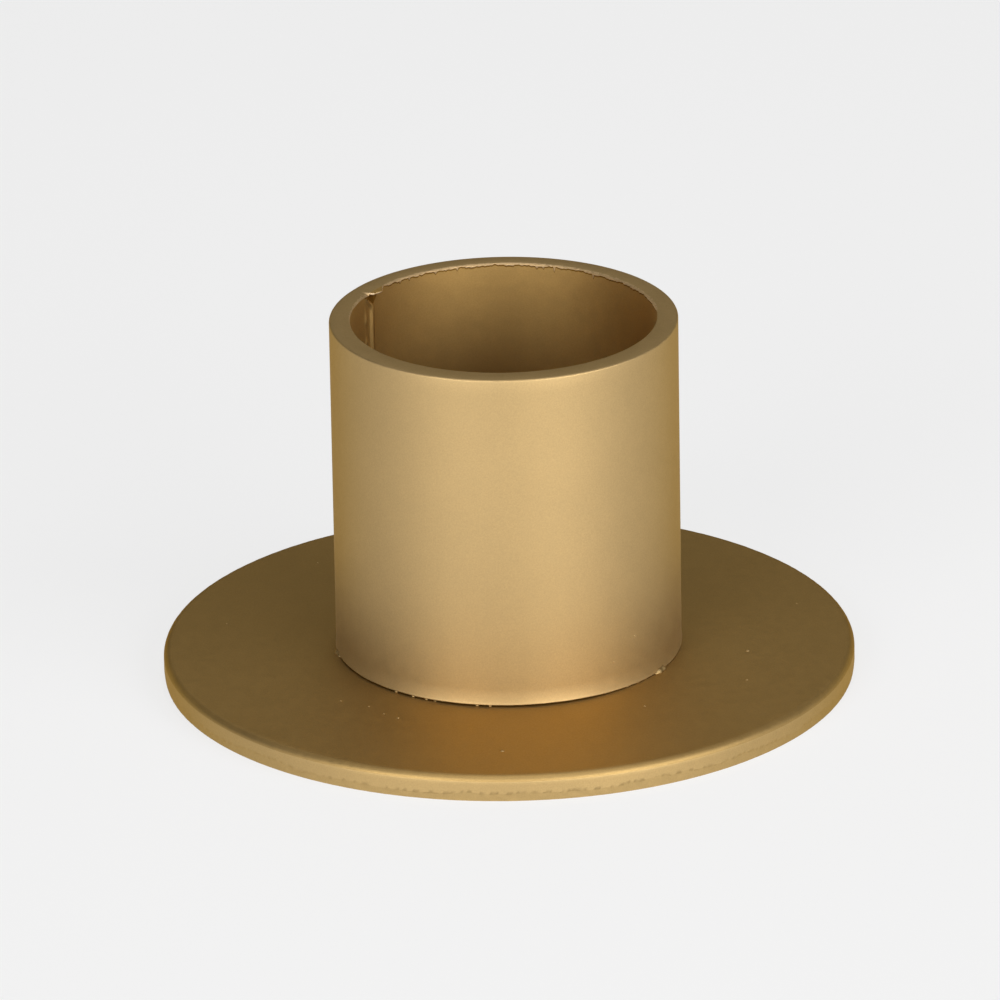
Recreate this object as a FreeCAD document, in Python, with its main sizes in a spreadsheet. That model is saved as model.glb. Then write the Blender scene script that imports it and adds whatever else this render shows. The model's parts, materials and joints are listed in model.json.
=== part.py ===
import FreeCAD, Part
import math
import os
import Sketcher

# Candle ring. A short length of steel tube, rolled from strip and welded along its seam, stands on a
# round steel disc, is tacked to it at the foot, and takes the end of a dinner candle. Millimetres,
# +Z up. The origin is the centre of the disc's underside.

SIZES = {
    # Disc, blanked from plate. Its upper edge is rolled over by the die, then comes the smooth
    # land, and at the bottom the rougher fracture band, which runs in a little towards the underside.
    "disc_diameter": 50.0,
    "disc_thickness": 1.9,
    "disc_roll_radius": 0.5,
    "disc_fracture_height": 0.6,
    "disc_fracture_inset": 0.06,
    # Tube, cut to length. The rim's outer edge is broken. The foot stands on its inner edge, and is
    # bevelled up from there, which leaves a fine gap all round.
    "tube_diameter": 25.0,
    "tube_wall": 1.5,
    "tube_length": 25.0,
    "rim_edge_radius": 0.15,
    "foot_land_width": 0.5,
    "foot_gap": 0.15,
    # Seam weld. Its root fills the gap between the strip's two edges, flush outside. Inside it stands
    # proud as a main ridge and beside it a lower one, each with its height over the straight line
    # between its two feet.
    "seam_angle": 150.8,
    "seam_root_width": 0.9,
    "seam_bead_width": 1.8,
    "seam_main_width": 1.15,
    "seam_main_height": 0.18,
    "seam_side_height": 0.11,
    # Tacks that hold the foot to the disc, placed by their angle round the tube.
    "tack_length": 1.5,
    "tack_height": 0.45,
    "tack_reach": 0.4,
    "tack_1_angle": -30.0,
    "tack_2_angle": 78.0,
    "tack_3_angle": 189.0,
}
TACK_COUNT = 3
SEAM_ROOT_ANGLE = "2 * asin(sizes.seam_root_width / sizes.tube_diameter)"


def make_sheet(doc):
    """Put every driving size in the spreadsheet, with its name as alias."""
    sheet = doc.addObject("Spreadsheet::Sheet", "sizes")
    for row, (name, value) in enumerate(SIZES.items(), start=1):
        sheet.set(f"A{row}", name)
        sheet.set(f"B{row}", str(value))
        sheet.setAlias(f"B{row}", name)
    doc.recompute()
    return sheet


def make_sketch(body, name, plane_role):
    """Attach a sketch to one of the body's own origin planes."""
    sketch = body.newObject("Sketcher::SketchObject", name)
    for feature in body.Origin.OriginFeatures:
        if feature.Role == plane_role:
            sketch.AttachmentSupport = [(feature, "")]
    sketch.MapMode = "FlatFace"
    return sketch


def add_outline(sketch, edges):
    """Add edges that follow each other and close into one outline."""
    ids = [sketch.addGeometry(edge, False) for edge in edges]
    for index, edge_id in enumerate(ids):
        sketch.addConstraint(Sketcher.Constraint("Coincident", ids[index - 1], 2, edge_id, 1))
    return ids


def bind(sketch, name, expression, *constraint):
    """Add a measured constraint and bind it to the spreadsheet."""
    index = sketch.addConstraint(Sketcher.Constraint(*constraint))
    sketch.renameConstraint(index, name)
    sketch.setExpression(f"Constraints.{name}", expression)


def line(start, end):
    return Part.LineSegment(FreeCAD.Vector(*start, 0), FreeCAD.Vector(*end, 0))


def arc(centre, radius, start_angle, end_angle):
    circle = Part.Circle(FreeCAD.Vector(*centre, 0), FreeCAD.Vector(0, 0, 1), radius)
    return Part.ArcOfCircle(circle, start_angle, end_angle)


def turn(body, sketch, angle):
    """Turn a section about the vertical axis, by half the angle to each side."""
    revolution = body.newObject("PartDesign::Revolution", sketch.Name + "_turned")
    revolution.Profile = sketch
    revolution.ReferenceAxis = (sketch, ["V_Axis"])
    revolution.Midplane = True
    revolution.setExpression("Angle", angle)
    sketch.Visibility = False


def make_base_disc(doc, sheet):
    """Round disc with a rolled upper edge, a smooth land and an inset fracture band."""
    body = doc.addObject("PartDesign::Body", "base_disc")
    sketch = make_sketch(body, "disc_section", "XZ_Plane")
    radius = sheet.disc_diameter / 2
    roll_centre = (radius - sheet.disc_roll_radius, sheet.disc_thickness - sheet.disc_roll_radius)
    underside_edge = (radius - sheet.disc_fracture_inset, 0)
    land_foot = (radius, sheet.disc_fracture_height)
    land_head = (radius, roll_centre[1])
    top_edge = (roll_centre[0], sheet.disc_thickness)
    top_centre = (0, sheet.disc_thickness)
    underside, fracture, land, roll, top, middle = add_outline(sketch, [
        line((0, 0), underside_edge),
        line(underside_edge, land_foot),
        line(land_foot, land_head),
        arc(roll_centre, sheet.disc_roll_radius, 0, math.pi / 2),
        line(top_edge, top_centre),
        line(top_centre, (0, 0)),
    ])
    sketch.addConstraint([
        Sketcher.Constraint("Coincident", underside, 1, -1, 1),
        Sketcher.Constraint("Horizontal", underside),
        Sketcher.Constraint("Vertical", land),
        Sketcher.Constraint("Horizontal", top),
        Sketcher.Constraint("Vertical", middle),
        Sketcher.Constraint("Horizontal", roll, 3, roll, 1),
        Sketcher.Constraint("Vertical", roll, 3, roll, 2),
    ])
    bind(sketch, "radius", "sizes.disc_diameter / 2", "DistanceX", -1, 1, land, 1, radius)
    bind(sketch, "thickness", "sizes.disc_thickness", "DistanceY", -1, 1, top, 2, sheet.disc_thickness)
    bind(sketch, "roll_radius", "sizes.disc_roll_radius", "Radius", roll, sheet.disc_roll_radius)
    bind(sketch, "fracture_height", "sizes.disc_fracture_height",
         "DistanceY", -1, 1, land, 1, sheet.disc_fracture_height)
    bind(sketch, "fracture_inset", "sizes.disc_fracture_inset",
         "DistanceX", underside, 2, fracture, 2, sheet.disc_fracture_inset)
    turn(body, sketch, "360 deg")
    return body


def make_wall_section(body, name, sheet):
    """Section of the tube's wall: broken outer rim edge, foot that stands on its inner edge."""
    sketch = make_sketch(body, name, "XZ_Plane")
    outside = sheet.tube_diameter / 2
    bore = outside - sheet.tube_wall
    foot = sheet.disc_thickness
    rim = foot + sheet.tube_length
    edge_centre = (outside - sheet.rim_edge_radius, rim - sheet.rim_edge_radius)
    foot_inner = (bore, foot)
    land_outer = (bore + sheet.foot_land_width, foot)
    bevel_outer = (outside, foot + sheet.foot_gap)
    wall_head = (outside, edge_centre[1])
    rim_outer = (edge_centre[0], rim)
    rim_inner = (bore, rim)
    foot_land, bevel, wall, edge, rim_face, bore_wall = add_outline(sketch, [
        line(foot_inner, land_outer),
        line(land_outer, bevel_outer),
        line(bevel_outer, wall_head),
        arc(edge_centre, sheet.rim_edge_radius, 0, math.pi / 2),
        line(rim_outer, rim_inner),
        line(rim_inner, foot_inner),
    ])
    sketch.addConstraint([
        Sketcher.Constraint("Horizontal", foot_land),
        Sketcher.Constraint("Vertical", wall),
        Sketcher.Constraint("Horizontal", rim_face),
        Sketcher.Constraint("Vertical", bore_wall),
        Sketcher.Constraint("Horizontal", edge, 3, edge, 1),
        Sketcher.Constraint("Vertical", edge, 3, edge, 2),
    ])
    bind(sketch, "seat", "sizes.disc_thickness", "DistanceY", -1, 1, foot_land, 1, foot)
    bind(sketch, "outside_radius", "sizes.tube_diameter / 2", "DistanceX", -1, 1, wall, 1, outside)
    bind(sketch, "wall", "sizes.tube_wall", "DistanceX", foot_land, 1, wall, 1, sheet.tube_wall)
    bind(sketch, "length", "sizes.tube_length", "DistanceY", foot_land, 1, rim_face, 2, sheet.tube_length)
    bind(sketch, "edge_radius", "sizes.rim_edge_radius", "Radius", edge, sheet.rim_edge_radius)
    bind(sketch, "land_width", "sizes.foot_land_width",
         "DistanceX", foot_land, 1, foot_land, 2, sheet.foot_land_width)
    bind(sketch, "gap", "sizes.foot_gap", "DistanceY", bevel, 1, bevel, 2, sheet.foot_gap)
    return sketch


def make_candle_tube(doc, sheet):
    """Strip rolled into a tube, open by the width of the weld's root along its seam."""
    body = doc.addObject("PartDesign::Body", "candle_tube")
    turn(body, make_wall_section(body, "strip_section", sheet), f"360 deg - {SEAM_ROOT_ANGLE}")
    body.setExpression("Placement.Rotation.Angle", "sizes.seam_angle - 180")
    return body


def crown(start, end, height):
    """Arc that bulges by a height from the chord between two points, on the side of the axis."""
    chord = math.dist(start, end)
    radius = chord / 2 * chord / 2 / (2 * height) + height / 2
    along = ((end[0] - start[0]) / chord, (end[1] - start[1]) / chord)
    middle = ((start[0] + end[0]) / 2, (start[1] + end[1]) / 2)
    centre = (middle[0] - along[1] * (radius - height), middle[1] + along[0] * (radius - height))
    start_angle = math.atan2(start[1] - centre[1], start[0] - centre[0])
    end_angle = math.atan2(end[1] - centre[1], end[0] - centre[0])
    return arc(centre, radius, start_angle, end_angle)


def make_seam_weld(doc, sheet):
    """Weld metal that closes the tube's seam, with a two-ridged bead on the bore's wall."""
    body = doc.addObject("PartDesign::Body", "seam_weld")
    turn(body, make_wall_section(body, "root_section", sheet), SEAM_ROOT_ANGLE)
    sketch = make_sketch(body, "bead_section", "XY_Plane")
    bore = sheet.tube_diameter / 2 - sheet.tube_wall
    half_angle = math.asin(sheet.seam_bead_width / 2 / bore)
    edge_x = bore * math.cos(half_angle)
    main_edge = (edge_x, -sheet.seam_bead_width / 2)
    groove = (edge_x, sheet.seam_main_width - sheet.seam_bead_width / 2)
    side_edge = (edge_x, sheet.seam_bead_width / 2)
    backing, side_ridge, main_ridge = add_outline(sketch, [
        arc((0, 0), bore, -half_angle, half_angle),
        crown(side_edge, groove, sheet.seam_side_height),
        crown(groove, main_edge, sheet.seam_main_height),
    ])
    sketch.addConstraint([
        Sketcher.Constraint("Coincident", backing, 3, -1, 1),
        Sketcher.Constraint("Vertical", backing, 1, backing, 2),
        Sketcher.Constraint("Vertical", side_ridge, 1, side_ridge, 2),
    ])
    bind(sketch, "bore_radius", "sizes.tube_diameter / 2 - sizes.tube_wall", "Radius", backing, bore)
    bind(sketch, "bead_width", "sizes.seam_bead_width",
         "DistanceY", backing, 1, backing, 2, sheet.seam_bead_width)
    bind(sketch, "main_width", "sizes.seam_main_width",
         "DistanceY", main_ridge, 2, main_ridge, 1, sheet.seam_main_width)
    main_radius = sketch.Geometry[main_ridge].Radius
    side_radius = sketch.Geometry[side_ridge].Radius
    bind(sketch, "main_radius",
         "sizes.seam_main_width ^ 2 / (8 * sizes.seam_main_height) + sizes.seam_main_height / 2",
         "Radius", main_ridge, main_radius)
    bind(sketch, "side_radius",
         "(sizes.seam_bead_width - sizes.seam_main_width) ^ 2 / (8 * sizes.seam_side_height)"
         " + sizes.seam_side_height / 2",
         "Radius", side_ridge, side_radius)
    sketch.setExpression("AttachmentOffset.Base.z", "sizes.disc_thickness")
    pad = body.newObject("PartDesign::Pad", "bead_length")
    pad.Profile = sketch
    pad.setExpression("Length", "sizes.tube_length")
    sketch.Visibility = False
    body.setExpression("Placement.Rotation.Angle", "sizes.seam_angle")
    return body


def make_foot_tack(doc, number):
    """Small blob of weld in the corner between the tube's wall and the disc."""
    blob = doc.addObject("Part::Ellipsoid", f"tack_blob_{number}")
    blob.setExpression("Radius1", "sizes.tack_height")
    blob.setExpression("Radius2", "sizes.tack_reach")
    blob.setExpression("Radius3", "sizes.tack_length / 2")
    blob.Angle1 = 0
    blob.setExpression("Placement.Base.x", "sizes.tube_diameter / 2")
    blob.setExpression("Placement.Base.z", "sizes.disc_thickness")
    wall = doc.addObject("Part::Cylinder", f"tack_wall_{number}")
    wall.setExpression("Radius", "sizes.tube_diameter / 2")
    wall.setExpression("Height", "sizes.disc_thickness + sizes.tube_length")
    tack = doc.addObject("Part::Cut", f"foot_tack_{number}")
    tack.Base = blob
    tack.Tool = wall
    tack.setExpression("Placement.Rotation.Angle", f"sizes.tack_{number}_angle")
    return tack


def check(doc, pieces):
    """Stop if an object failed, or a piece isn't one valid solid."""
    for item in doc.Objects:
        if "Invalid" in item.State or "Error" in item.State:
            raise RuntimeError(f"{item.Name} failed: {item.State}")
    for piece in pieces:
        shape = piece.Shape
        if shape.isNull() or not shape.isValid() or len(shape.Solids) != 1:
            raise RuntimeError(f"{piece.Label} isn't one valid solid")


doc = FreeCAD.newDocument("candle_ring")
sheet = make_sheet(doc)
pieces = [make_base_disc(doc, sheet), make_candle_tube(doc, sheet), make_seam_weld(doc, sheet)]
pieces += [make_foot_tack(doc, number + 1) for number in range(TACK_COUNT)]
doc.recompute()
check(doc, pieces)
os.makedirs("parts", exist_ok=True)
for piece in pieces:
    piece.Shape.exportStep(f"parts/{piece.Label}.step")
    print(f"{piece.Label}: {piece.Shape.Volume:.3f} mm3, {piece.Shape.BoundBox}")
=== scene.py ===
import json
import math

import bmesh
import bpy
from mathutils import Matrix, Vector, noise


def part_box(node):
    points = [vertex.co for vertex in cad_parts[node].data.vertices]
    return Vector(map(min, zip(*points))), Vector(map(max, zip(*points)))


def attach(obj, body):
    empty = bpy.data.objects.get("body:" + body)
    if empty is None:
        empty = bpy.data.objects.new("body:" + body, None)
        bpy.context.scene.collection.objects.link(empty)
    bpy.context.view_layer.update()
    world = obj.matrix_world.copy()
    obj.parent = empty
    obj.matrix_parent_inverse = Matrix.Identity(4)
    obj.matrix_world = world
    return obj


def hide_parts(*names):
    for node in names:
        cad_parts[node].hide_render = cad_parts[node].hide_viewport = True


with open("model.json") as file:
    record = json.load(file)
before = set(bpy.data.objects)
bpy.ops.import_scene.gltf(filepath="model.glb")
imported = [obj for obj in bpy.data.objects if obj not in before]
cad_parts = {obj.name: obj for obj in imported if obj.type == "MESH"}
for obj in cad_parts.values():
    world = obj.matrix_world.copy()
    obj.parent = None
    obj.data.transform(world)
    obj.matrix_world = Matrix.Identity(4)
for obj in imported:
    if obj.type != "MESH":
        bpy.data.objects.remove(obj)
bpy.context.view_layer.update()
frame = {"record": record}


# Disc
# A round blank punched from steel plate and painted. The die has rolled its upper edge over. Below
# the roll come the smooth land and, in the lower third, the rougher fracture band, whose upper
# border wanders.

MM = 0.001
disc_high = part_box("base_disc")[1]
disc_radius = disc_high.x
disc_top = disc_high.z
seat_low, seat_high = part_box("candle_tube")
seat_outside = seat_high.x
seat_inside = frame["record"]["mounts"][0]["dims"]["r_mm"] * MM
disc_steps = 1080
outer_ring_shares = (0.97, 0.9, 0.75)
inner_ring_share = 0.25
face_radii = [share * disc_radius for share in outer_ring_shares]
face_radii += [seat_outside, seat_inside, inner_ring_share * disc_radius]
roll_radius = 0.5 * MM
roll_steps = 10
roll_nick = 0.025 * MM
roll_nick_size = 0.5 * MM
land_rows = 4
fracture_height = 0.6 * MM
fracture_wander = 0.22 * MM
fracture_waves = ((1, 4 * MM), (0.6, 1.3 * MM), (0.4, 0.4 * MM))
fracture_inset = 0.06 * MM
fracture_ledge = 0.004 * MM
fracture_grain = 0.016 * MM
fracture_grain_size = 0.35 * MM
fracture_rows = 5
crease_angle = math.radians(40)
merge_distance = 0.0001 * MM


def wave(angle, radius, size, level=0.0):
    """Smooth noise from -1 to 1 round a circle, for features of the given size."""
    at = Vector((math.cos(angle) * radius, math.sin(angle) * radius, level)) / size
    return noise.noise(at)


def polar(radius, angle, height):
    return (radius * math.cos(angle), radius * math.sin(angle), height)


def lathe(name, section, steps, closed):
    """Mesh swept round the Z axis. section(angle) gives its points as (radius, height)."""
    count = len(section(0.0))
    verts = []
    faces = []
    for step in range(steps):
        angle = math.tau * step / steps
        verts += [polar(radius, angle, height) for radius, height in section(angle)]
        near = step * count
        far = (step + 1) % steps * count
        for low in range(count if closed else count - 1):
            high = (low + 1) % count
            faces.append((near + low, far + low, far + high, near + high))
    return finish_mesh(name, verts, faces)


def finish_mesh(name, verts, faces):
    """Make an object, merge its doubled points, face it outward and smooth it below the crease angle."""
    mesh = bpy.data.meshes.new(name)
    mesh.from_pydata(verts, [], faces)
    shape = bmesh.new()
    shape.from_mesh(mesh)
    bmesh.ops.remove_doubles(shape, verts=shape.verts, dist=merge_distance)
    bmesh.ops.recalc_face_normals(shape, faces=shape.faces)
    shape.to_mesh(mesh)
    shape.free()
    mesh.shade_smooth()
    mesh.set_sharp_from_angle(angle=crease_angle)
    made = bpy.data.objects.new(name, mesh)
    bpy.context.scene.collection.objects.link(made)
    return made


def fracture_border(angle):
    """Height at which the fracture band ends and the smooth land begins."""
    wander = sum(share * wave(angle, disc_radius, size) for share, size in fracture_waves)
    return fracture_height + fracture_wander * wander


def disc_section(angle):
    """Outline of the disc from the middle of its underside, round the edge, to the middle of its top."""
    border = fracture_border(angle)
    points = [(0, 0)]
    points += [(radius, 0) for radius in reversed(face_radii)]
    for row in range(fracture_rows + 1):
        share = row / fracture_rows
        height = share * border
        grain = fracture_grain * wave(angle, disc_radius, fracture_grain_size, height)
        inset = fracture_inset + (fracture_ledge - fracture_inset) * share
        points.append((disc_radius - inset + min(grain, inset), height))
    land_foot = border + fracture_ledge
    land_head = disc_top - roll_radius
    for row in range(land_rows):
        points.append((disc_radius, land_foot + (land_head - land_foot) * row / land_rows))
    nick = roll_nick * (1 + wave(angle, disc_radius, roll_nick_size, disc_top)) / 2
    for step in range(roll_steps + 1):
        turn = math.pi / 2 * step / roll_steps
        dent = nick * math.sin(2 * turn)
        across = roll_radius * (1 - math.cos(turn)) + dent * math.cos(turn)
        height = land_head + roll_radius * math.sin(turn) - dent * math.sin(turn)
        points.append((disc_radius - across, height))
    points += [(radius, disc_top) for radius in face_radii]
    points.append((0, disc_top))
    return points


class Wire:
    """A shader value. Arithmetic on it adds Math nodes to its material."""

    def __init__(self, tree, socket=None):
        self.tree = tree
        self.socket = socket

    def node(self, kind, settings=None, inputs=None, output=0):
        """Add any node: first its settings, then the values or links of its inputs."""
        made = self.tree.nodes.new(kind)
        for key, value in (settings or {}).items():
            setattr(made, key, value)
        for key, value in (inputs or {}).items():
            if isinstance(value, Wire):
                self.tree.links.new(value.socket, made.inputs[key])
            else:
                made.inputs[key].default_value = value
        return Wire(self.tree, made.outputs[output] if made.outputs else None)

    def math(self, operation, *values):
        return self.node("ShaderNodeMath", {"operation": operation}, dict(enumerate(values)))

    def __add__(self, other):
        return self.math("ADD", self, other)

    def __sub__(self, other):
        return self.math("SUBTRACT", self, other)

    def __mul__(self, other):
        return self.math("MULTIPLY", self, other)

    def __rsub__(self, other):
        return self.math("SUBTRACT", other, self)


disc_light = (0.448, 0.295, 0.11, 1)
disc_dark = (0.373, 0.245, 0.092, 1)
# Painted shade: the upper roll has a darker copy of the disc's paint, which dims its highlight.
shaded_roll_light = (0.416, 0.279, 0.108, 1)
shaded_roll_dark = (0.347, 0.232, 0.09, 1)
roll_flatness = 0.75
# Painted light: the upright edge has a lighter copy of the disc's paint, where it faces the lamps.
lit_edge_light = (0.511, 0.357, 0.157, 1)
lit_edge_dark = (0.425, 0.297, 0.13, 1)
edge_flatness = 0.2
# The fracture band's copy is its own rougher tone, a little darker than the edge's, and lighter than the top
# as painted light.
lit_fracture_light = (0.504, 0.352, 0.15, 1)
lit_fracture_dark = (0.419, 0.292, 0.125, 1)
# The ring under the tube's foot, seen only through the gap, has a deeper amber copy of the paint:
# painted shade in the gap.
gap_shaded_light = (0.5, 0.28, 0.06, 1)
gap_shaded_dark = (0.35, 0.19, 0.035, 1)
paint_metallic = 1.0
paint_roughness = 0.55
paint_slant_tint = (0.45, 0.3, 0.1, 1)
grain_roughness = 0.6
mean_tone = 0.6
flake_size = 0.11 * MM
flake_tone = 0.4
flake_gloss = 0.08
flake_relief = 0.12
mottle_size = 0.7 * MM
mottle_tone = 0.24
mottle_dullness = 0.04
cloud_size = 5 * MM
cloud_tone = 0.16
peel_size = 0.55 * MM
peel_relief = 0.35
bump_strength = 0.5
bump_distance = 0.01 * MM
# Sockets of a node that mixes colours: the two colours, and the result.
mix_dark, mix_light, mix_result = 6, 7, 2


def gold_paint(name, light, dark):
    """Satin gold paint: metal flakes in an amber binder, sprayed on steel, with a slight orange peel."""
    material = bpy.data.materials.new(name)
    material.use_nodes = True
    tree = material.node_tree
    tree.nodes.clear()
    wire = Wire(tree)
    place = wire.node("ShaderNodeTexCoord", output="Object")

    def grain(size, detail):
        spread = wire.node("ShaderNodeTexNoise", inputs={
            "Vector": place, "Scale": 1 / size, "Detail": detail, "Roughness": grain_roughness})
        return (spread - 0.5) * 2

    flakes = grain(flake_size, 1.0)
    mottle = grain(mottle_size, 2.0)
    cloud = grain(cloud_size, 1.0)
    peel = grain(peel_size, 1.0)
    shade = flakes * flake_tone + mottle * mottle_tone + cloud * cloud_tone + mean_tone
    colour = wire.node("ShaderNodeMix", {"data_type": "RGBA", "clamp_factor": True}, {
        "Factor": shade, mix_dark: dark, mix_light: light}, output=mix_result)
    bump = wire.node("ShaderNodeBump", inputs={
        "Height": peel * peel_relief + flakes * flake_relief,
        "Strength": bump_strength,
        "Distance": bump_distance})
    surface = wire.node("ShaderNodeBsdfPrincipled", inputs={
        "Base Color": colour,
        "Metallic": paint_metallic,
        "Roughness": paint_roughness - flakes * flake_gloss + mottle * mottle_dullness,
        "Specular Tint": paint_slant_tint,
        "Normal": bump})
    wire.node("ShaderNodeOutputMaterial", inputs={"Surface": surface})
    return material


disc = lathe("disc", disc_section, disc_steps, closed=False)
disc.data.materials.append(gold_paint("disc_gold_paint", disc_light, disc_dark))
disc.data.materials.append(gold_paint("lit_edge_gold_paint", lit_edge_light, lit_edge_dark))
disc.data.materials.append(gold_paint("lit_fracture_gold_paint", lit_fracture_light, lit_fracture_dark))
disc.data.materials.append(gold_paint("gap_shaded_gold_paint", gap_shaded_light, gap_shaded_dark))
disc.data.materials.append(gold_paint("shaded_roll_gold_paint", shaded_roll_light, shaded_roll_dark))
disc_slot, edge_slot, lit_fracture_slot, gap_shaded_slot, shaded_roll_slot = range(5)
for face in disc.data.polygons:
    # 0 on an upright face, 1 on a level one.
    flatness = abs(face.normal.z)
    across = math.hypot(face.center.x, face.center.y)
    face.material_index = disc_slot
    # Painted shade on the ring under the foot.
    if face.center.z > disc_top - roll_nick and seat_inside < across < seat_outside:
        face.material_index = gap_shaded_slot
    # Painted shade on the upper roll, dimming its highlight.
    if face.center.z > disc_top - roll_radius and flatness < roll_flatness:
        face.material_index = shaded_roll_slot
    # Painted light on the upright edge and on the fracture band.
    if flatness < edge_flatness:
        border = fracture_border(math.atan2(face.center.y, face.center.x))
        face.material_index = lit_fracture_slot if face.center.z < border else edge_slot
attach(disc, "root")
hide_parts("base_disc")


# Tube
# A short length of welded steel tube, sawn off square. The rim's outer edge is broken with a file, and
# the saw has torn its inner edge on the far half. The foot stands on its inner edge, and a fine gap is
# left under its outer edge, which paint fills here and there.

tube_radius = seat_outside
bore_radius = seat_inside
tube_foot = seat_low.z
tube_rim = seat_high.z
tube_steps = 900
wall_rows = 24
rim_edge_radius = 0.14 * MM
rim_edge_steps = 6
rim_crown_width = 0.4 * MM
rim_crown_drop = 0.025 * MM
scrape_angle = math.radians(150)
scrape_reach = math.radians(7)
scrape_depth = 0.012 * MM
foot_land_width = 0.5 * MM
foot_gap = 0.135 * MM
foot_gap_wander = 0.02 * MM
foot_gap_wander_size = 1.5 * MM
foot_lip = 0.05 * MM
foot_lip_height = 0.26 * MM
foot_lip_taper_share = 0.8
gap_filled_angle = math.radians(-28)
gap_filled_power = 6
gap_filled_share = 0.8
gap_plug_angle = math.radians(184)
gap_plug_reach = math.radians(14)
gap_plug_share = 1.1
# The rim's inner edge, counted round from the right: a size is its width and its depth.
worn_start = math.radians(3)
worn_end = math.radians(142.5)
worn_fade = math.radians(5)
worn_size = (0.13 * MM, 0.07 * MM)
chip_start = math.radians(150.9)
chip_end = math.radians(158)
chip_fade = math.radians(0.4)
chip_size = (0.42 * MM, 0.1 * MM)
eased_end = math.radians(195)
eased_size = (0.16 * MM, 0.08 * MM)
square_size = (0.02 * MM, 0.01 * MM)
ragged_waves = ((0.8, 0.9 * MM), (0.8, 0.25 * MM))
least_width_share = 0.3
least_depth_share = 0.4
edge_middle_shares = (0.4, 0.3)
# The hollow under the weld's lip, with its spread to the right and to the left.
hollow_angle = math.radians(148.7)
hollow_spread = (math.radians(3.2), math.radians(5))
hollow_head = 0.2 * MM
hollow_foot = 0.95 * MM
hollow_depth = 0.03 * MM
hollow_steepness = 6
hollow_border = 0.15
hollow_rows = 16


def smooth_step(value, start, end):
    share = min(1.0, max(0.0, (value - start) / (end - start)))
    return share * share * (3 - 2 * share)


def hump(at, centre, before, after):
    """Raised cosine from 0 to 1, reaching as far before and after its centre as given."""
    away = (at - centre + math.pi) % math.tau - math.pi
    share = away / (after if away > 0 else before)
    return 0.5 + 0.5 * math.cos(math.pi * share) if abs(share) < 1 else 0.0


def worn_at(angle):
    """1 along the far half of the rim, fading to 0 at its two ends."""
    begun = smooth_step(angle, worn_start, worn_start + worn_fade)
    return begun * smooth_step(worn_end - angle, 0, worn_fade)


def rim_inner_edge(angle):
    """Width and depth of the rim's inner edge: worn on the far half, chipped past the weld, then eased."""
    angle %= math.tau
    worn = worn_at(angle)
    past_weld = smooth_step(angle, chip_start, chip_start + chip_fade)
    chip = past_weld * (1 - smooth_step(angle, chip_start, chip_end))
    eased = past_weld * (1 - smooth_step(angle, chip_end, eased_end))
    width, depth = (square + worn * when_worn + chip * when_chipped + eased * when_eased
                    for square, when_worn, when_chipped, when_eased
                    in zip(square_size, worn_size, chip_size, eased_size))
    ragged = sum((share * wave(angle, bore_radius, size) for share, size in ragged_waves), 1)
    return width * max(least_width_share, ragged), depth * min(1.0, max(least_depth_share, ragged))


def hollow_at(angle, below):
    """Depth of the hollow that the weld has left under its lip. It narrows downward to a point."""
    share = (below - hollow_head) / (hollow_foot - hollow_head)
    if not 0 < share < 1:
        return 0.0
    right, left = hollow_spread
    across = hump(angle, hollow_angle, right * (1 - share), left * (1 - share))
    return hollow_depth * math.sqrt(across) * min(1.0, hollow_steepness * share)


def in_hollow(angle, below):
    """Whether a place lies in the hollow or on its border, where its shade is painted dark."""
    share = (below - hollow_head) / (hollow_foot - hollow_head)
    right, left = hollow_spread
    narrowed = 1 + hollow_border - share
    return -hollow_border < share and -right * narrowed < angle - hollow_angle < left * narrowed


def foot_gap_at(angle):
    """Height of the gap under the foot. Paint fills it at the right front and beside the left tack."""
    filled = max(0.0, math.cos(angle - gap_filled_angle)) ** gap_filled_power
    filled += gap_plug_share * hump(angle, gap_plug_angle, gap_plug_reach, gap_plug_reach)
    wander = foot_gap_wander * wave(angle, tube_radius, foot_gap_wander_size)
    return foot_gap * (1 - gap_filled_share * filled) + wander


def tube_section(angle):
    """Outline of the wall: foot, outside, rim and bore."""
    gap = foot_gap_at(angle)
    outside = tube_radius - scrape_depth * hump(angle, scrape_angle, scrape_reach, scrape_reach)
    points = [(bore_radius, tube_foot), (bore_radius + foot_land_width, tube_foot)]
    points.append((outside, tube_foot + gap))
    points.append((outside + foot_lip, tube_foot + gap + foot_lip_height / 4))
    points.append((outside + foot_lip * foot_lip_taper_share, tube_foot + gap + foot_lip_height / 2))
    wall_foot = tube_foot + gap + foot_lip_height
    wall_head = tube_rim - rim_crown_drop - rim_edge_radius
    for row in range(wall_rows):
        points.append((outside, wall_foot + (wall_head - wall_foot) * row / wall_rows))
    for step in range(rim_edge_steps + 1):
        turn = math.pi / 2 * step / rim_edge_steps
        across = rim_edge_radius * (1 - math.cos(turn))
        points.append((outside - across, wall_head + rim_edge_radius * math.sin(turn)))
    points.append((outside - rim_edge_radius - rim_crown_width / 2, tube_rim - rim_crown_drop / 4))
    points.append((outside - rim_edge_radius - rim_crown_width, tube_rim))
    width, depth = rim_inner_edge(angle)
    width_share, depth_share = edge_middle_shares
    points.append((bore_radius + width, tube_rim))
    points.append((bore_radius + width * width_share, tube_rim - depth * depth_share))
    points.append((bore_radius, tube_rim - depth))
    for row in range(hollow_rows + 1):
        below = hollow_head + (hollow_foot - hollow_head) * row / hollow_rows
        points.append((bore_radius + hollow_at(angle, below), tube_rim - below))
    bore_head = tube_rim - hollow_foot
    for row in range(1, wall_rows):
        points.append((bore_radius, bore_head + (tube_foot - bore_head) * row / wall_rows))
    return points


# Painted light: the tube's outside has a paler copy of the paint than the bore and disc, standing for the
# glare on its brightly lit face.
tube_light = (0.519, 0.367, 0.172, 1)
tube_dark = (0.431, 0.305, 0.143, 1)
bore_light = (0.547, 0.348, 0.12, 1)
bore_dark = (0.454, 0.29, 0.1, 1)
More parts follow.
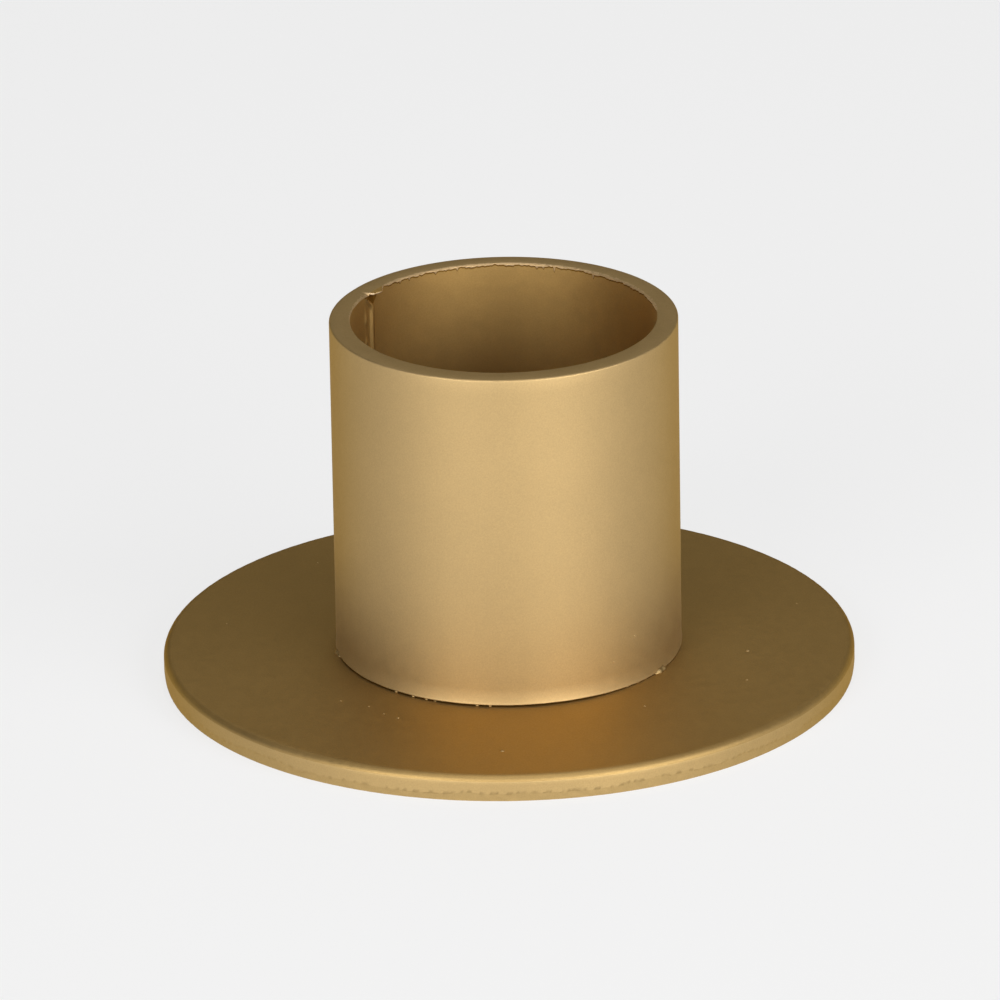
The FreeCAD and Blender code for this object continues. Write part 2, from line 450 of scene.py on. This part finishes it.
# Painted shade: a dark copy of the paint for the foot's underside in the gap, the hollow under the weld's
# lip, the strip beside the weld's ridge and the strip under the burr.
painted_shade_light = (0.28, 0.15, 0.032, 1)
painted_shade_dark = (0.19, 0.095, 0.016, 1)
# Painted highlight: a light copy of the paint on the rim's inner edge and the burr's fin, which catch light.
painted_highlight_light = (0.74, 0.54, 0.3, 1)
painted_highlight_dark = (0.5, 0.35, 0.17, 1)
painted_highlight_reach = 1.5 * sum(chip_size)
underside_flatness = 0.5
wall_flatness = 0.2
rim_flatness = 0.98

tube = lathe("tube", tube_section, tube_steps, closed=True)
tube_paint = gold_paint("tube_gold_paint", tube_light, tube_dark)
bore_paint = gold_paint("bore_gold_paint", bore_light, bore_dark)
painted_shade_paint = gold_paint("painted_shade_gold_paint", painted_shade_light, painted_shade_dark)
painted_highlight_paint = gold_paint("painted_highlight_gold_paint", painted_highlight_light, painted_highlight_dark)
for paint in (tube_paint, bore_paint, painted_shade_paint, painted_highlight_paint):
    tube.data.materials.append(paint)
tube_slot, bore_slot, painted_shade_slot, painted_highlight_slot = range(4)
for face in tube.data.polygons:
    angle = math.atan2(face.center.y, face.center.x) % math.tau
    inside = math.hypot(face.center.x, face.center.y) - bore_radius
    sloping = wall_flatness < face.normal.z < rim_flatness
    face.material_index = tube_slot
    # Painted shade on the foot's underside, seen through the gap.
    if face.normal.z < -underside_flatness and inside < tube_radius - bore_radius - foot_lip:
        face.material_index = painted_shade_slot
    # Painted shade in the shallow hollow under the weld's lip.
    elif inside < hollow_depth and in_hollow(angle, tube_rim - face.center.z):
        face.material_index = painted_shade_slot
    # Painted highlight on the sloping inner edge of the rim.
    elif sloping and inside < painted_highlight_reach and worn_start < angle < eased_end:
        face.material_index = painted_highlight_slot
    elif abs(face.normal.z) < wall_flatness and inside < hollow_depth:
        face.material_index = bore_slot
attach(tube, "root")
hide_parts("candle_tube")


# Seam weld
# The tube is rolled from strip and its edges are welded together. Outside, the weld is scraped flush.
# Inside it stands as a ridge with some spatter beside it. At the rim the saw has left a lip of it,
# with a shallow hollow below, whose shade is painted dark.

ridge_angle = math.radians(150.0)
ridge_reach = (math.radians(2.4), math.radians(1.5))
ridge_height = 0.17 * MM
ridge_wander = math.radians(0.25)
ridge_wander_size = 2.5 * MM
spatter_angle = math.radians(154.2)
spatter_reach = math.radians(1.6)
spatter_height = 0.08 * MM
spatter_film = 0.02 * MM
# Each spot of spatter has its depth below the rim and its half length.
spatter_places = ((1.8 * MM, 0.7 * MM), (3.6 * MM, 0.5 * MM), (9.0 * MM, 0.8 * MM))
weld_sides = (math.radians(147), math.radians(158))
weld_columns = 44
weld_rows = 140
weld_bury = 0.75 * MM
weld_sink = 0.002 * MM
weld_head = tube_rim - 0.22 * MM
weld_ripple_share = 0.35
weld_ripple_size = 1.1 * MM
weld_hollow_share = 6
# Painted shadow: the bead's faces between these angles, beside the ridge, take the dark paint.
ridge_shadow_angles = (math.radians(147.5), math.radians(148.2))
undercut_depth = 1.25 * MM
undercut_turn = math.radians(3.8)
undercut_share = 0.55
lip_thickness = 0.15 * MM
lip_root = 0.2 * MM
lip_columns = 60
lip_edge_steps = 8
lip_ends = (math.radians(141.4), math.radians(151.5))
lip_side = math.radians(1.1)
lip_side_back = 0.6 * MM
lip_side_reach = 0.36 * MM
lip_tip = math.radians(146.6)
lip_tip_reach = 0.52 * MM
# Painted highlight: the lip's upright front edge has a light copy of the paint.
lip_highlight_light = (0.9, 0.74, 0.52, 1)
lip_highlight_dark = (0.68, 0.52, 0.32, 1)
lip_flatness = 0.5


def loft(name, rings):
    """Closed mesh through rings of points, with a cap at each end."""
    count = len(rings[0])
    verts = [point for ring in rings for point in ring]
    faces = [tuple(range(count)), tuple(range(len(verts) - count, len(verts)))]
    for near in range(0, len(verts) - count, count):
        for step in range(count):
            after = (step + 1) % count
            faces.append((near + step, near + after, near + count + after, near + count + step))
    return finish_mesh(name, verts, faces)


def weld_height(angle, level):
    """How far the weld stands off the bore. Just under the lip the ridge is thin and leans aside."""
    below = tube_rim - level
    full = smooth_step(below, lip_thickness, undercut_depth)
    crest = ridge_angle + undercut_turn * (1 - full)
    crest += ridge_wander * noise.noise(Vector((0, 0, level)) / ridge_wander_size)
    ridge = ridge_height * (undercut_share + (1 - undercut_share) * full)
    stands = ridge * hump(angle, crest, *ridge_reach)
    spatter = sum(hump(below, place, length, length) for place, length in spatter_places)
    beside = hump(angle, spatter_angle, spatter_reach, spatter_reach)
    stands += (spatter_film + spatter_height * spatter) * beside
    return stands * (1 + weld_ripple_share * wave(angle, bore_radius, weld_ripple_size, level))


def weld_ring(level):
    first, last = weld_sides
    points = [polar(bore_radius + weld_bury, last, level), polar(bore_radius + weld_bury, first, level)]
    for column in range(weld_columns + 1):
        angle = first + (last - first) * column / weld_columns
        hollow = hollow_at(angle, tube_rim - level)
        stands = weld_height(angle, level) - weld_hollow_share * hollow
        points.append(polar(bore_radius + weld_sink - stands, angle, level))
    return points


def lip_reach(angle):
    """How far the lip stands over the bore: a tongue with a steep near side, whose root crosses the rim."""
    first, last = lip_ends
    side = smooth_step(last - angle, 0, lip_side)
    tip = smooth_step(last - angle, lip_side, last - lip_tip)
    back = smooth_step(angle, first, lip_tip)
    front = -lip_side_back + (lip_side_back + lip_side_reach) * side + (lip_tip_reach - lip_side_reach) * tip
    return front * back


def lip_ring(angle):
    half = lip_thickness / 2
    top = tube_rim - weld_sink
    front = bore_radius - lip_reach(angle) + half
    points = [polar(bore_radius + weld_bury, angle, top - half), polar(bore_radius + weld_bury, angle, top)]
    for step in range(lip_edge_steps + 1):
        turn = math.pi * step / lip_edge_steps
        points.append(polar(front - half * math.sin(turn), angle, top - half + half * math.cos(turn)))
    points.append(polar(bore_radius + weld_bury, angle, top - lip_root))
    return points


weld = loft("seam_weld_bead", [weld_ring(tube_foot + (weld_head - tube_foot) * row / weld_rows)
                               for row in range(weld_rows + 1)])
lip_start, lip_end = lip_ends
lip = loft("seam_weld_lip", [lip_ring(lip_start + (lip_end - lip_start) * column / lip_columns)
                             for column in range(lip_columns + 1)])
weld_paint = gold_paint("weld_gold_paint", bore_light, bore_dark)
for piece in (weld, lip):
    piece.data.materials.append(weld_paint)
    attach(piece, "root")
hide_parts("seam_weld")
weld.data.materials.append(painted_shade_paint)
bead_slot, bead_shade_slot = range(2)
shadow_start, shadow_end = ridge_shadow_angles
# Painted shade on the bead in the hollow, and a painted shadow beside the ridge.
for face in weld.data.polygons:
    angle = math.atan2(face.center.y, face.center.x) % math.tau
    shaded = shadow_start < angle < shadow_end or in_hollow(angle, tube_rim - face.center.z)
    face.material_index = bead_shade_slot if shaded else bead_slot
lip.data.materials.append(gold_paint("lip_highlight_gold_paint", lip_highlight_light, lip_highlight_dark))
lip_face_slot, lip_highlight_slot = range(2)
# Painted highlight on the lip's upright faces.
for face in lip.data.polygons:
    face.material_index = lip_highlight_slot if abs(face.normal.z) < lip_flatness else lip_face_slot


# Rim burr
# The saw leaves a thin ragged fin on the rim's inner edge, on the far half, where its teeth break out.
# It is never filed off, only painted over. Its fin takes a painted highlight, and the wall just
# under it a strip of painted shade.

burr_columns = 900
burr_reach = 0.06 * MM
burr_reach_share = 0.85
burr_reach_coarse_share = 0.5
burr_reach_fine_share = 0.4
burr_drop = 0.08 * MM
burr_drop_share = 0.9
burr_drop_ragged_share = 1.1
burr_least_share = 0.3
burr_coarse_size = 0.9 * MM
burr_fine_size = 0.22 * MM
burr_fin_shares = ((0.8, 0.1), (1, 0.4), (0.7, 1))
burr_bury = 0.05 * MM
burr_shade_head_share = 1.05
burr_shade_height = 0.1 * MM
burr_shade_end_share = 0.3
burr_shade_reach = 0.006 * MM
burr_flatness = 0.5
# Each tooth of the fin has its angle and half width in degrees, and its length in millimetres.
burr_teeth = (
    (132.5, 0.8, 0.12), (128.0, 0.6, 0.2), (116.3, 0.6, 0.12), (112.0, 0.8, 0.1), (107.4, 0.6, 0.18),
    (77.0, 0.8, 0.16), (74.4, 0.6, 0.18), (70.1, 0.6, 0.4), (53.5, 0.6, 0.3), (33.0, 0.8, 0.08))


def burr_ring(angle):
    """Section of the fin, and of the strip of painted shade on the wall under it, at one angle."""
    ends = worn_at(angle)
    coarse = wave(angle, bore_radius, burr_coarse_size)
    fine = wave(angle, bore_radius, burr_fine_size, tube_rim)
    reach = burr_reach * (burr_reach_share + burr_reach_coarse_share * coarse + burr_reach_fine_share * fine)
    reach *= ends
    ragged = burr_drop_share + burr_drop_ragged_share * coarse + burr_drop_ragged_share * fine
    drop = burr_drop * max(burr_least_share, ragged) * ends
    for degrees, width, length in burr_teeth:
        half = math.radians(width)
        drop += length * MM * hump(angle, math.radians(degrees), half, half)
    foot = drop + burr_shade_height * (burr_shade_end_share + (1 - burr_shade_end_share) * ends)
    section = [(-burr_bury, -burr_bury), (-burr_bury / 2, 0)]
    section += [(reach * across, -drop * down) for across, down in burr_fin_shares]
    section.append((burr_shade_reach, -drop * burr_shade_head_share))
    section += [(burr_shade_reach, -foot), (-burr_bury, -foot)]
    top = tube_rim - rim_inner_edge(angle)[1]
    return [polar(bore_radius - inward, angle, top + rise) for inward, rise in section]


burr = loft("rim_burr", [burr_ring(worn_start + (worn_end - worn_start) * column / burr_columns)
                         for column in range(burr_columns + 1)])
burr.data.materials.append(painted_highlight_paint)
burr.data.materials.append(painted_shade_paint)
fin_slot, shade_strip_slot = range(2)
# The fin takes the painted highlight, and the strip under it the painted shade.
for face in burr.data.polygons:
    inward = bore_radius - math.hypot(face.center.x, face.center.y)
    on_shade_strip = inward < 2 * burr_shade_reach and abs(face.normal.z) < burr_flatness
    face.material_index = shade_strip_slot if on_shade_strip else fin_slot
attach(burr, "root")


# Foot tacks
# Three small tacks of filler wire in the corner between the tube and the disc hold the two together.
# They are short, a little lumpy and painted over.

tack_length = 1.5 * MM
tack_height = 0.45 * MM
tack_reach = 0.4 * MM
tack_bury = 0.12 * MM
tack_columns = 48
tack_arc_steps = 12
tack_toe_share = 0.6
tack_saddle_share = 0.74
tack_lump_share = 0.26
tack_lump_reach = 0.45
tack_uneven_share = 0.06
tack_uneven_size = 0.5 * MM
tack_grain_share = 0.05
tack_grain_size = 0.45 * MM
# Painted shade: the tacks and paint bridges have a darker copy of the paint, which dims their highlights.
shaded_tack_light = (0.38, 0.265, 0.12, 1)
shaded_tack_dark = (0.31, 0.215, 0.095, 1)
# Each tack has its fullness, and the places of its lumps from -1 to 1 along it.
tack_shapes = {
    "foot_tack_1": (0.72, (-0.42, 0.5)),
    "foot_tack_2": (1.0, (-0.1, 0.45)),
    "foot_tack_3": (0.6, (0.1,))}


def tack_ring(middle, full, lumps, share):
    """Section of a tack at a share from -1 to 1 of its half length."""
    angle = middle + share * tack_length / 2 / tube_radius
    swell = math.sqrt(max(0.0, 1 - share * share))
    lump = min(1.0, sum(hump(share, place, tack_lump_reach, tack_lump_reach) for place in lumps))
    uneven = tack_uneven_share * wave(angle, tube_radius, tack_uneven_size)
    size = full * swell * (tack_saddle_share + tack_lump_share * lump + uneven)
    points = [polar(tube_radius - tack_bury, angle, disc_top - tack_bury)]
    points.append(polar(tube_radius - tack_bury, angle, disc_top + tack_height * size))
    for step in range(tack_arc_steps + 1):
        turn = math.pi / 2 * step / tack_arc_steps
        grain = 1 + tack_grain_share * wave(angle, tube_radius, tack_grain_size, turn * MM)
        out = tack_reach * size * math.sin(turn) * grain
        points.append(polar(tube_radius + out, angle, disc_top + tack_height * size * math.cos(turn) * grain))
    points.append(polar(tube_radius + tack_reach * size * tack_toe_share, angle, disc_top - tack_bury))
    return points


shaded_tack_paint = gold_paint("shaded_tack_gold_paint", shaded_tack_light, shaded_tack_dark)
for node, (full, lumps) in tack_shapes.items():
    node_low, node_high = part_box(node)
    middle = math.atan2(node_low.y + node_high.y, node_low.x + node_high.x)
    shares = [2 * column / tack_columns - 1 for column in range(tack_columns + 1)]
    tack = loft(node + "_bead", [tack_ring(middle, full, lumps, share) for share in shares])
    tack.data.materials.append(shaded_tack_paint)
    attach(tack, "root")
    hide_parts(node)


# Paint bridges and nibs
# The paint spans the gap under the foot in a few places, and dust has dried into it as small nibs.
# They are blobs of the paint. The bridges take the tacks' darker copy, painted shade that dims them,
# and the nibs the tube's paler copy, painted light.

blob_sides = 14
blob_rings = 9
bridge_height = 0.14 * MM
bridge_reach = 0.1 * MM
bridge_sink = 0.06 * MM
# Each bridge has its angle round the tube in degrees and its width in millimetres.
bridge_spots = (
    (-130.8, 0.2), (-123.8, 0.2), (-118.7, 0.16), (-115.5, 0.1), (-100.9, 0.16), (-96.6, 0.16),
    (-47.5, 0.14), (-42.5, 0.3), (-38.5, 0.2))
nib_height_share = 0.5
nib_sink_share = 0.35
nib_narrow_share = 0.8
# Each nib on the disc has its place across and along it and its size, in millimetres.
disc_nibs = (
    (-0.6, -20.4, 0.16), (17.2, -2.8, 0.16), (17.0, -8.2, 0.1), (9.6, -12.7, 0.1), (-9.0, -13.3, 0.09),
    (-8.0, -14.1, 0.12), (-10.1, -11.9, 0.08), (-12.1, -10.8, 0.09), (-20.5, 4.0, 0.08),
    (6.5, 19.0, 0.1), (-14.0, 15.5, 0.07), (21.0, 6.0, 0.07))
# Each nib on the tube has its angle in degrees, and its height and size in millimetres.
tube_nibs = (
    (-43.9, 5.64, 0.07), (-53.3, 4.22, 0.06), (-100.0, 17.0, 0.05), (35.0, 12.0, 0.08),
    (160.0, 8.0, 0.06))


def blobs(name, places, paint):
    """One mesh of small rounded lumps. A place is a centre, the way out of the surface, and a size."""
    shape = bmesh.new()
    for centre, outward, size in places:
        turned = Vector(outward).to_track_quat("Z", "Y")
        matrix = Matrix.LocRotScale(Vector(centre), turned, Vector(size))
        bmesh.ops.create_uvsphere(
            shape, u_segments=blob_sides, v_segments=blob_rings, radius=1, matrix=matrix)
    mesh = bpy.data.meshes.new(name)
    shape.to_mesh(mesh)
    shape.free()
    mesh.shade_smooth()
    made = bpy.data.objects.new(name, mesh)
    bpy.context.scene.collection.objects.link(made)
    made.data.materials.append(paint)
    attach(made, "root")
    return made


bridge_places = []
for degrees, width in bridge_spots:
    angle = math.radians(degrees)
    centre = polar(tube_radius - bridge_sink, angle, disc_top + foot_gap / 2)
    bridge_places.append((centre, polar(1, angle, 0), (bridge_height, width / 2 * MM, bridge_reach)))
# The bridges take the tacks' darker copy of the paint, painted shade.
bridges = blobs("paint_bridges", bridge_places, shaded_tack_paint)

nib_places = []
for across, along, size in disc_nibs:
    reach = size * MM
    height = reach * nib_height_share
    centre = (across * MM, along * MM, disc_top - height * nib_sink_share)
    nib_places.append((centre, (0, 0, 1), (reach, reach * nib_narrow_share, height)))
for degrees, level, size in tube_nibs:
    angle = math.radians(degrees)
    reach = size * MM
    centre = polar(tube_radius, angle, level * MM)
    nib_places.append((centre, polar(1, angle, 0), (reach, reach, reach * nib_height_share)))
# The nibs take the tube's paler copy of the paint, painted light.
nib_paint = gold_paint("nib_gold_paint", tube_light, tube_dark)
nibs = blobs("paint_nibs", nib_places, nib_paint)


# Floor, light and camera
# A plain pale floor under soft light. Most of the light comes from low in front, some from above, and
# a little from behind. The camera looks down a little through a long lens.

floor_reach = 6.0
floor_sides = 96
backdrop_height = 0.9
floor_colour = (0.62, 0.62, 0.62, 1)
floor_glow_share = 0.72
# Sockets of a node that mixes two surfaces: the second one's share, and the two surfaces.
mix_share, mix_first, mix_second = 0, 1, 2


def make_stage():
    """Round floor with a low wall round its edge. Seen directly or in gloss it is pale, with its shadow."""
    ring = [polar(floor_reach, math.tau * side / floor_sides, 0) for side in range(floor_sides)]
    wall = [(x, y, backdrop_height) for x, y, _ in ring]
    faces = [tuple(range(floor_sides))]
    for side in range(floor_sides):
        after = (side + 1) % floor_sides
        faces.append((side, side + floor_sides, after + floor_sides, after))
    mesh = bpy.data.meshes.new("floor")
    mesh.from_pydata(ring + wall, [], faces)
    made = bpy.data.objects.new("floor", mesh)
    bpy.context.scene.collection.objects.link(made)
    material = bpy.data.materials.new("floor")
    material.use_nodes = True
    tree = material.node_tree
    tree.nodes.clear()
    wire = Wire(tree)
    seen = wire.node("ShaderNodeLightPath", output="Is Camera Ray")
    seen += wire.node("ShaderNodeLightPath", output="Is Glossy Ray")
    seen += wire.node("ShaderNodeLightPath", output="Is Transmission Ray")
    matt = wire.node("ShaderNodeBsdfDiffuse", inputs={"Color": floor_colour})
    glow = wire.node("ShaderNodeEmission")
    surface = wire.node("ShaderNodeMixShader", inputs={
        mix_share: seen * floor_glow_share, mix_first: matt, mix_second: glow})
    wire.node("ShaderNodeOutputMaterial", inputs={"Surface": surface})
    mesh.materials.append(material)


make_stage()

lamp_distance = 0.8
lamp_size = 0.5
# Each softbox has its azimuth from the camera's side and its elevation in degrees, and its watts.
softboxes = {
    "front_right": (30, 12, 4.5),
    "front_left": (-30, 12, 3.35),
    "right": (60, 30, 2.45),
    "left": (-30, 30, 1.6),
    "overhead": (0, 75, 1.7),
    "rear_high": (180, 50, 0.38),
    "rear_overhead": (140, 75, 0.35),
    "rear_right": (140, 12, 0.3),
    "rear_left": (-140, 12, 0.3)}


def add_softbox(name, azimuth, elevation, watts):
    """Round area light that looks at the object."""
    lamp = bpy.data.lights.new(name, "AREA")
    lamp.shape = "DISK"
    lamp.size = lamp_size
    lamp.energy = watts
    made = bpy.data.objects.new(name, lamp)
    bpy.context.scene.collection.objects.link(made)
    turn = math.radians(azimuth)
    lift = math.radians(elevation)
    away = Vector((math.sin(turn) * math.cos(lift), -math.cos(turn) * math.cos(lift), math.sin(lift)))
    made.location = away * lamp_distance
    made.rotation_mode = "QUATERNION"
    made.rotation_quaternion = away.to_track_quat("Z", "Y")


for name, (azimuth, elevation, watts) in softboxes.items():
    add_softbox(name, azimuth, elevation, watts)

world_strength = 0.02
world = bpy.data.worlds.new("studio")
bpy.context.scene.world = world
world.use_nodes = True
world.node_tree.nodes["Background"].inputs["Color"].default_value = (1, 1, 1, 1)
world.node_tree.nodes["Background"].inputs["Strength"].default_value = world_strength

camera_distance = 768.05 * MM
camera_elevation = math.radians(21.8036)
camera_aim_height = 13 * MM
camera_pan = math.radians(-0.03553)
camera_tilt = math.radians(-0.01236)
camera_roll = math.radians(-0.98019)
camera_focal_pixels = 10668.6
frame_pixels = 1000
sensor_width = 36
nearest_seen = 0.01
farthest_seen = 20

camera_data = bpy.data.cameras.new("camera")
camera_data.sensor_width = sensor_width
camera_data.lens = camera_focal_pixels / frame_pixels * sensor_width
camera_data.clip_start = nearest_seen
camera_data.clip_end = farthest_seen
camera = bpy.data.objects.new("camera", camera_data)
bpy.context.scene.collection.objects.link(camera)
forward = Vector((0, math.cos(camera_elevation), -math.sin(camera_elevation)))
right = Vector((1, 0, 0))
up = right.cross(forward)
aim = forward * math.cos(camera_pan) * math.cos(camera_tilt)
aim += right * math.sin(camera_pan) * math.cos(camera_tilt) + up * math.sin(camera_tilt)
side = aim.cross(up).normalized()
top = side.cross(aim)
side_rolled = side * math.cos(camera_roll) + top * math.sin(camera_roll)
top_rolled = top * math.cos(camera_roll) - side * math.sin(camera_roll)
camera.location = Vector((0, 0, camera_aim_height)) - forward * camera_distance
camera.rotation_mode = "QUATERNION"
camera.rotation_quaternion = Matrix((side_rolled, top_rolled, -aim)).transposed().to_quaternion()
bpy.context.scene.camera = camera
bpy.context.scene.view_settings.view_transform = "Standard"
